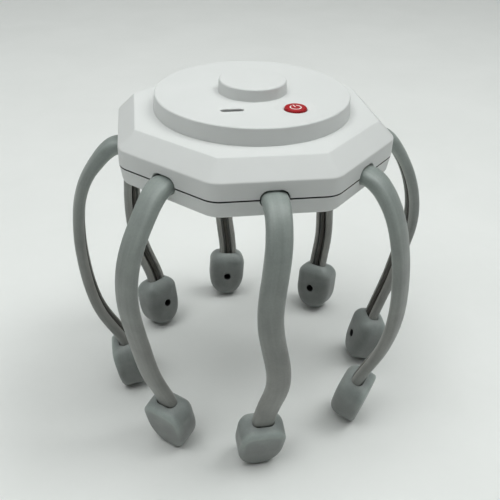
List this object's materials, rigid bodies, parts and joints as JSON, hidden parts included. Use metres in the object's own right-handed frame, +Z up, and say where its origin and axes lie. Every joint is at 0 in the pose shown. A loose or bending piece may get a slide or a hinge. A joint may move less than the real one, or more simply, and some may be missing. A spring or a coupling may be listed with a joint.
{
  "type": "electric scalp massager",
  "caption": "Battery-powered head massager: flat eight-sided housing with a round cover, red power button and bendable rubber legs ending in soft vibrating pads.",
  "frame": {"origin": "on the surface the pads stand on, under the axis of the eight-sided housing", "axes": "+Z up through the grip boss; -Y towards the front leg and the side of the cover with the button and the charging slot; +X to the right seen from the front"},
  "size_m": [0.1746, 0.1718, 0.1697],
  "materials": {
    "shell_white": "satin moulded ABS",
    "button_red": "smooth moulded",
    "symbol_white": "inlaid",
    "switch_black": "moulded",
    "socket_metal": "plated shell",
    "board_green": "solder mask",
    "chip_black": "moulded package",
    "screw_steel": "zinc plated",
    "foam_black": "closed-cell foam",
    "cell_foil": "laminate pouch",
    "lead_black": "insulated wire",
    "anchor_black": "glass-filled nylon",
    "core_wire": "soft drawn wire",
    "plug_white": "moulded",
    "sleeve_grey": "matte moulded silicone rubber",
    "pad_grey": "matte moulded silicone rubber",
    "motor_steel": "plated can"
  },
  "bodies": {
    "housing": {"upper_shell": "shell_white", "lower_shell": "shell_white", "top_cover": "shell_white", "tact_switch": "switch_black", "usb_c_socket": "socket_metal", "main_board": "board_green", "board_parts": "chip_black", "board_screws": "screw_steel", "battery_pad": "foam_black", "battery_cell": "cell_foil", "battery_lead": "lead_black", "leg_anchors": "anchor_black", "anchor_screws": "screw_steel", "core_tails": "core_wire", "lead_tails": "lead_black", "motor_plugs": "plug_white", "case_screws": "screw_steel"},
    "button": {"power_button": "button_red", "button_symbol": "symbol_white", "switch_plunger": "switch_black"},
    "leg_1": {"leg_1_sleeve": "sleeve_grey", "leg_1_core": "core_wire", "leg_1_lead": "lead_black", "leg_1_pad": "pad_grey", "leg_1_motor": "motor_steel"},
    "leg_2": {"leg_2_sleeve": "sleeve_grey", "leg_2_core": "core_wire", "leg_2_lead": "lead_black", "leg_2_pad": "pad_grey", "leg_2_motor": "motor_steel"},
    "leg_3": {"leg_3_sleeve": "sleeve_grey", "leg_3_core": "core_wire", "leg_3_lead": "lead_black", "leg_3_pad": "pad_grey", "leg_3_motor": "motor_steel"},
    "leg_4": {"leg_4_sleeve": "sleeve_grey", "leg_4_core": "core_wire", "leg_4_lead": "lead_black", "leg_4_pad": "pad_grey", "leg_4_motor": "motor_steel"},
    "leg_5": {"leg_5_sleeve": "sleeve_grey", "leg_5_core": "core_wire", "leg_5_lead": "lead_black", "leg_5_pad": "pad_grey", "leg_5_motor": "motor_steel"},
    "leg_6": {"leg_6_sleeve": "sleeve_grey", "leg_6_core": "core_wire", "leg_6_lead": "lead_black", "leg_6_pad": "pad_grey", "leg_6_motor": "motor_steel"},
    "leg_7": {"leg_7_sleeve": "sleeve_grey", "leg_7_core": "core_wire", "leg_7_lead": "lead_black", "leg_7_pad": "pad_grey", "leg_7_motor": "motor_steel"},
    "leg_8": {"leg_8_sleeve": "sleeve_grey", "leg_8_core": "core_wire", "leg_8_lead": "lead_black", "leg_8_pad": "pad_grey", "leg_8_motor": "motor_steel"}
  },
  "joints": [
    {"name": "button_press", "type": "slide", "parent": "housing", "child": "button", "axis": [0, 0, -1], "range_m": [0, 0.0006], "stiffness_N_per_m": 2500, "springref_m": -0.0004},
    {"name": "leg_1_bend", "type": "hinge", "parent": "housing", "child": "leg_1", "pos_m": [0, -0.06, 0.1415], "axis": [-1, 0, 0], "range_deg": [-8, 20]},
    {"name": "leg_2_bend", "type": "hinge", "parent": "housing", "child": "leg_2", "pos_m": [0.04243, -0.04243, 0.1415], "axis": [-0.7071, -0.7071, 0], "range_deg": [-8, 20]},
    {"name": "leg_3_bend", "type": "hinge", "parent": "housing", "child": "leg_3", "pos_m": [0.06, 0, 0.1415], "axis": [0, -1, 0], "range_deg": [-8, 20]},
    {"name": "leg_4_bend", "type": "hinge", "parent": "housing", "child": "leg_4", "pos_m": [0.04243, 0.04243, 0.1415], "axis": [0.7071, -0.7071, 0], "range_deg": [-8, 20]},
    {"name": "leg_5_bend", "type": "hinge", "parent": "housing", "child": "leg_5", "pos_m": [0, 0.06, 0.1415], "axis": [1, 0, 0], "range_deg": [-8, 20]},
    {"name": "leg_6_bend", "type": "hinge", "parent": "housing", "child": "leg_6", "pos_m": [-0.04243, 0.04243, 0.1415], "axis": [0.7071, 0.7071, 0], "range_deg": [-8, 20]},
    {"name": "leg_7_bend", "type": "hinge", "parent": "housing", "child": "leg_7", "pos_m": [-0.06, 0, 0.1415], "axis": [0, 1, 0], "range_deg": [-8, 20]},
    {"name": "leg_8_bend", "type": "hinge", "parent": "housing", "child": "leg_8", "pos_m": [-0.04243, -0.04243, 0.1415], "axis": [-0.7071, 0.7071, 0], "range_deg": [-8, 20]}
  ]
}
